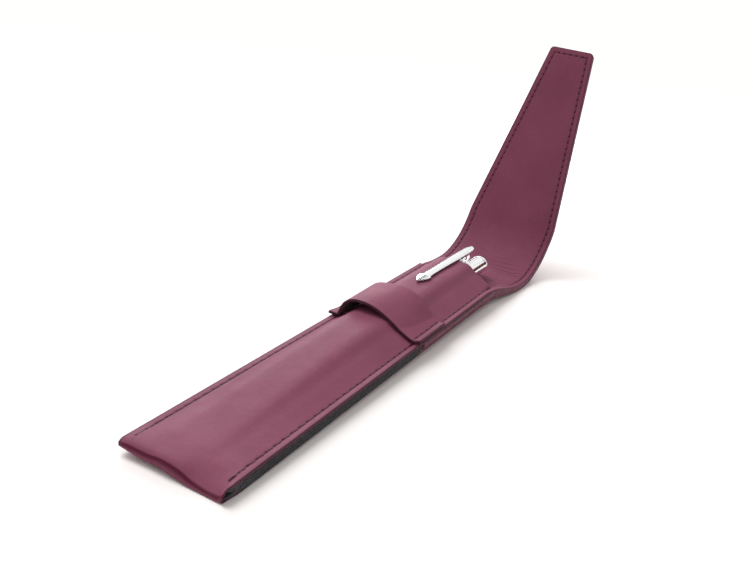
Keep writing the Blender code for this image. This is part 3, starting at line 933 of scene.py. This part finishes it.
def flap_stitches(low, high):
    """Both edges of the flap between two distances from the mouth, inside and out."""
    found = []
    for side in (-1, 1):
        for i in range(int((FLAP_LENGTH - FLAP_MARGIN - FLAP_FIRST) / FLAP_PITCH)):
            s = FLAP_FIRST + i * FLAP_PITCH
            if not low <= s + FLAP_PITCH / 2 < high:
                continue
            ends = []
            for end in (s + FLAP_STITCH_GAP, s + FLAP_PITCH - FLAP_STITCH_GAP):
                half = flap_half(min(end, FLAP_LENGTH - TIP_CORNER))
                ends.append((end, side * (half - FLAP_MARGIN)))
            found += [flap_stitch(ends, inner) for inner in (True, False)]
    return found


def tip_stitches():
    s = FLAP_LENGTH - FLAP_MARGIN
    reach = flap_half(FLAP_LENGTH - TIP_CORNER) - FLAP_MARGIN
    found = []
    for i in range(-5, 5):
        low = i * FLAP_PITCH
        if -reach <= low <= reach - FLAP_PITCH:
            ends = [(s, low + d) for d in (FLAP_STITCH_GAP, FLAP_PITCH - FLAP_STITCH_GAP)]
            found += [flap_stitch(ends, inner) for inner in (True, False)]
    return found


seam_left = stitch_row("seam_stitches_left", seam_stitches(-1) + back_stitches(-1), 5)
seam_right = stitch_row("seam_stitches_right", seam_stitches(1) + back_stitches(1), 6)
case_stitches = stitch_row("flap_stitches_case", flap_stitches(0, CUT_HEEL), 7)
neck_stitches = stitch_row("flap_stitches_neck", flap_stitches(CUT_HEEL, CUT_NECK), 8)
tongue_stitches = stitch_row("flap_stitches_tongue",
                             flap_stitches(CUT_NECK, FLAP_LENGTH) + tip_stitches(), 9)


# Loose fibres on the raw edges

def fuzz(name, count, seed, side, low, high, bottom_of, top_of, material, longest):
    """Short fibres that stand out of a raw edge on one side of the case."""
    half_width = 0.035 * MM
    rng = np.random.default_rng(seed)
    verts, faces = [], []
    for _ in range(count):
        v = rng.uniform(low, high)
        z = rng.uniform(bottom_of(v), top_of(v))
        where = Vector((side * (HALF + 0.1 * MM), v - MOUTH_Y, z))
        way = Vector((side, 0, 0)) + Vector(rng.normal(0, 0.6, 3))
        way.normalize()
        wide = way.cross(Vector(rng.normal(0, 1, 3))).normalized() * half_width
        length = longest * rng.uniform(0.35, 1.0)
        droop = Vector((0, 0, -length * 0.2))
        base = len(verts)
        verts += [where - wide, where + wide, where + way * length * 0.6 + wide * 0.6,
                  where + way * length + droop, where + way * length * 0.6 - wide * 0.6]
        faces.append((base, base + 1, base + 2, base + 3, base + 4))
    return new_mesh(name, verts, faces, [material], smooth=False)


def edge_low(v):
    return float(back_z(v, 1.0)) + 0.5 * MM


def charcoal_top(v):
    return float(seam_top(v)) - LEATHER - 0.2 * MM


def raw_top(v):
    return float(back_z(v, 1.0)) + LEATHER


CHARCOAL_COUNT = 3200
PLUM_COUNT = 1500
charcoal_fibres, plum_fibres = [], []
for side, label in ((-1, "left"), (1, "right")):
    charcoal_fibres.append(fuzz("charcoal_fibres_" + label, CHARCOAL_COUNT, 11 + side, side,
                                13 * MM, CHARCOAL_END, edge_low, charcoal_top, charcoal,
                                0.5 * MM))
    plum_fibres.append(fuzz("plum_fibres_" + label, PLUM_COUNT, 21 + side, side, CHARCOAL_END,
                            LENGTH, edge_low, raw_top, plum_raw, 0.35 * MM))


# Pens

PEN_A_X = -5.9 * MM
PEN_B_X = 1.9 * MM
PEN_Z = 7.5 * MM
PEN_SIDES = 64
CAP_DEPTH = 32.0 * MM
CAP_LIP_R = 3.40 * MM
TAIL_START = 10.9 * MM
TAIL_LENGTH = 13.0 * MM
PEN_B_REACH = 21.4 * MM
DOME_LENGTH = 3.5 * MM
SET_LINE = 0.12 * MM


def ringed(profile):
    """The profile with rings beside each corner, so that smooth shading stays true."""
    fine = [profile[0]]
    for a, b in zip(profile, profile[1:]):
        length = math.dist(a, b)
        near = min(0.05 * MM / length, 0.3)
        steps = np.linspace(near, 1 - near, 2 + int(length / (2 * MM)))
        fine += [tuple(p + (q - p) * t for p, q in zip(a, b)) for t in (*steps, 1)]
    return fine


def turned(name, profile, x, material):
    """A round piece on a pen's axis; the profile lists (distance from the mouth, radius)."""
    profile = ringed(profile)
    tilt = math.atan(RISE_SLOPE)
    verts = []
    for y, radius in profile:
        for k in range(PEN_SIDES):
            a = 2 * math.pi * k / PEN_SIDES
            flat = Vector((radius * math.sin(a), y, radius * math.cos(a)))
            verts.append((x + flat.x, MOUTH_Y + flat.y * math.cos(tilt) - flat.z * math.sin(tilt),
                          PEN_Z + flat.y * math.sin(tilt) + flat.z * math.cos(tilt)))
    obj = new_mesh(name, verts, tube_faces(0, len(profile), PEN_SIDES), [material])
    fix_normals(obj)
    return obj


def pen_a_cap():
    """Cap with a long tapered end."""
    tail = smooth_curve((0, 0.3, 0.7, 0.93, 1), (1, 0.93, 0.62, 0.36, 0.16))
    profile = [(-CAP_DEPTH, CAP_LIP_R), (-20 * MM, 3.53 * MM), (0, PEN_R), (TAIL_START, PEN_R)]
    for t in np.linspace(0, 1, 18)[1:]:
        profile.append((TAIL_START + TAIL_LENGTH * t, PEN_R * float(tail(t))))
    return turned("pen_a_cap_fine", profile, PEN_A_X, chrome)


def pen_b_cap():
    """Cap with a domed end and a fine line where the dome is set in."""
    profile = [(-CAP_DEPTH, CAP_LIP_R), (0, PEN_R)]
    for back, sunk in ((4.6 * MM, 0), (4.5 * MM, SET_LINE), (4.3 * MM, SET_LINE), (4.2 * MM, 0)):
        profile.append((PEN_B_REACH - back, PEN_R - sunk))
    for t in np.linspace(0, math.pi / 2, 14):
        profile.append((PEN_B_REACH - DOME_LENGTH * (1 - math.sin(t)),
                        PEN_R * max(math.cos(t), 0.1)))
    return turned("pen_b_cap_fine", profile, PEN_B_X, chrome)


CLIP_TIP = Vector((-3.0 * MM, MOUTH_Y - 33.6 * MM, 13.9 * MM))
CLIP_END = Vector((-1.8 * MM, MOUTH_Y + 15.9 * MM, 15.6 * MM))
CLIP_HALF = 1.85 * MM
CLIP_CROWN = 0.34 * MM
CLIP_DEPTH = 0.62 * MM
RIB_HEIGHT = 0.24 * MM
RIB_WAVES = 272
RIBBED = (0.012, 0.127)


def clip_blade():
    """A crowned blade with an arrow-shaped, ribbed point."""
    widths = smooth_curve((0, 0.04, 0.1, 0.14, 0.16, 0.35, 0.7, 0.93, 1),
                          (0.18, 0.66, 1.26, 1.30, 0.92, 0.86, 1.0, 0.92, 0.5))
    top, bottom = [], []
    for t in np.concatenate((np.linspace(0, 0.16, 110), np.linspace(0.165, 1, 50))):
        middle = CLIP_TIP.lerp(CLIP_END, t)
        w = CLIP_HALF * float(widths(t))
        rib = RIB_HEIGHT * math.sin(t * RIB_WAVES) if RIBBED[0] < t < RIBBED[1] else 0.0
        row, low = [], []
        for k in np.linspace(-1, 1, 13):
            crown = -CLIP_CROWN * k * k
            row.append((middle.x + k * w, middle.y, middle.z + crown + rib * (1 - k * k)))
            low.append((middle.x + k * w, middle.y, middle.z - CLIP_DEPTH))
        top.append(row)
        bottom.append(low)
    return sheet("pen_a_clip_fine", np.array(top), np.array(bottom), [chrome], dome=0.1 * MM)


cap_a = pen_a_cap()
cap_b = pen_b_cap()
clip = clip_blade()


for material, nodes in (
        (chrome, ("pen_a_ring", "pen_b_ring", "pen_a_nose", "pen_b_nose", "pen_a_clip_post")),
        (lacquer, ("pen_a_barrel", "pen_b_barrel"))):
    for node in nodes:
        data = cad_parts[node].data
        data.materials.clear()
        data.materials.append(material)


# What rides on what, and what stands for what

for name, pieces in (("heel", (case_strip, case_lining, case_stitches)),
                     ("neck", (neck_strip, neck_lining, neck_stitches)),
                     ("tongue", (tongue_strip, tongue_lining, tongue_stitches))):
    for piece in pieces:
        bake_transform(piece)
for piece in [pocket_cloth, band, seam_left, seam_right] + charcoal_fibres + plum_fibres:
    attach(piece, "case")
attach(cap_a, "pen_a")
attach(clip, "pen_a_clip")
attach(cap_b, "pen_b")

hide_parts("outer_leather", "flap_heel_outer")
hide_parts("flap_neck_outer")
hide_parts("flap_tongue_outer")
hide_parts("flap_lining_root", "flap_heel_lining")
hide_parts("flap_neck_lining")
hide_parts("flap_tongue_lining")
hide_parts("pocket_lining")
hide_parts("keeper_band")
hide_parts("seam_thread_left")
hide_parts("seam_thread_right")
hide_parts("mouth_thread_left", "mouth_thread_right",
            "flap_heel_thread_left", "flap_heel_thread_right")
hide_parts("flap_neck_thread_left", "flap_neck_thread_right")
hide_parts("flap_tongue_thread")
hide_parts("pen_a_cap")
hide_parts("pen_a_clip")
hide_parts("pen_b_cap")


# Stage: floor, light and camera

FLOOR_HALF = 6.0
FLOOR_DROP = 0.05 * MM
FLOOR_COLOUR = (0.93, 0.925, 0.92)
SUN_WAY = (0.65, -0.14, -1.0)
SUN_STRENGTH = 1.9
SUN_ANGLE = math.radians(34)
PANEL_PLACE = (-0.42, 0.42, 0.26)
PANEL_WAY = (0.42, -0.40, -0.26)
PANEL_SIZE = (0.45, 0.2)
PANEL_POWER = 2.2
DOME_COLOUR = (1.0, 0.95, 0.925)
DOME_STRENGTH = 0.62
WHITE = (1.0, 1.0, 1.0)
CAMERA_PLACE = (0.12513, -0.24044, 0.13815)
CAMERA_TURN = (68.0705, -7.8723, 29.3388)
CAMERA_LENS = 43.0


def build_stage():
    """A wide pale floor, clear from below so that the case's back can be seen."""
    corners = [(x, y, 0) for x, y in ((-FLOOR_HALF, -FLOOR_HALF), (FLOOR_HALF, -FLOOR_HALF),
                                      (FLOOR_HALF, FLOOR_HALF), (-FLOOR_HALF, FLOOR_HALF))]
    n = Nodes(bpy.data.materials.new("white_floor"))
    n.fill(n.shader, {"Base Color": FLOOR_COLOUR, "Roughness": 1.0, "Specular IOR Level": 0.0})
    surface = n.add("ShaderNodeMixShader", {
        0: n.add("ShaderNodeNewGeometry").outputs["Backfacing"], 1: n.shader.outputs[0],
        2: n.add("ShaderNodeBsdfTransparent").outputs[0]})
    n.fill(n.tree.nodes["Material Output"], {"Surface": surface.outputs[0]})
    floor = new_mesh("floor", corners, [(0, 1, 2, 3)], [n.material], smooth=False)
    floor.location.z = -FLOOR_DROP


def add_light(name, kind, way, energy, **settings):
    data = bpy.data.lights.new(name, kind)
    data.energy = energy
    for key, value in settings.items():
        setattr(data, key, value)
    light = add_object(name, data)
    light.rotation_euler = Vector(way).to_track_quat("-Z", "Y").to_euler()
    return light


STUDIO_DARK = ((0.0, (0.03, 0.010, 0.010)), (0.50, (0.12, 0.032, 0.028)),
               (0.62, (0.10, 0.030, 0.028)), (0.78, (0.05, 0.05, 0.055)),
               (1.0, (0.10, 0.10, 0.105)))


def build_world():
    """White to the camera, a soft warm dome for light, and a studio in reflections."""
    world = bpy.data.worlds.new("studio")
    bpy.context.scene.world = world
    n = Nodes(world)

    def background(colour, strength=1.0):
        inputs = {"Color": colour, "Strength": strength}
        return n.add("ShaderNodeBackground", inputs).outputs[0]

    def choose(factor, a, b):
        return n.add("ShaderNodeMixShader", {0: factor, 1: a, 2: b}).outputs[0]

    way = n.add("ShaderNodeTexCoord").outputs["Generated"]
    x, y, z = n.add("ShaderNodeSeparateXYZ", {0: way}).outputs
    window = n.maths("MULTIPLY", n.span(z, 0.10, 0.18), n.span(x, 0.35, 0.42, 1.0, 0.0))
    window = n.maths("MULTIPLY", window, n.span(y, -0.25, 0.15, 0.3, 1.0))
    dark = n.ramp(n.span(z, -1.0, 1.0), STUDIO_DARK)
    studio = background(n.mix(window, dark, WHITE))
    path = n.add("ShaderNodeLightPath").outputs
    light = choose(path["Is Glossy Ray"], background(DOME_COLOUR, DOME_STRENGTH), studio)
    sky = choose(path["Is Camera Ray"], light, background(WHITE))
    n.fill(n.tree.nodes["World Output"], {"Surface": sky})


def build_light():
    """The lamps. The standing flap is kept out of the chrome's reflections."""
    add_light("key", "SUN", SUN_WAY, SUN_STRENGTH, angle=SUN_ANGLE)
    panel = add_light("left_panel", "AREA", PANEL_WAY, PANEL_POWER, shape="RECTANGLE",
                      size=PANEL_SIZE[0], size_y=PANEL_SIZE[1])
    panel.location = PANEL_PLACE
    for piece in (neck_strip, neck_lining, tongue_strip, tongue_lining):
        piece.visible_glossy = False


def build_camera():
    data = bpy.data.cameras.new("camera")
    data.sensor_width = 36.0
    data.lens = CAMERA_LENS
    data.clip_start = 0.01
    camera = add_object("camera", data)
    camera.location = CAMERA_PLACE
    camera.rotation_euler = [math.radians(a) for a in CAMERA_TURN]
    bpy.context.scene.camera = camera


build_stage()
build_world()
build_light()
build_camera()
bpy.context.scene.view_settings.view_transform = "Standard"
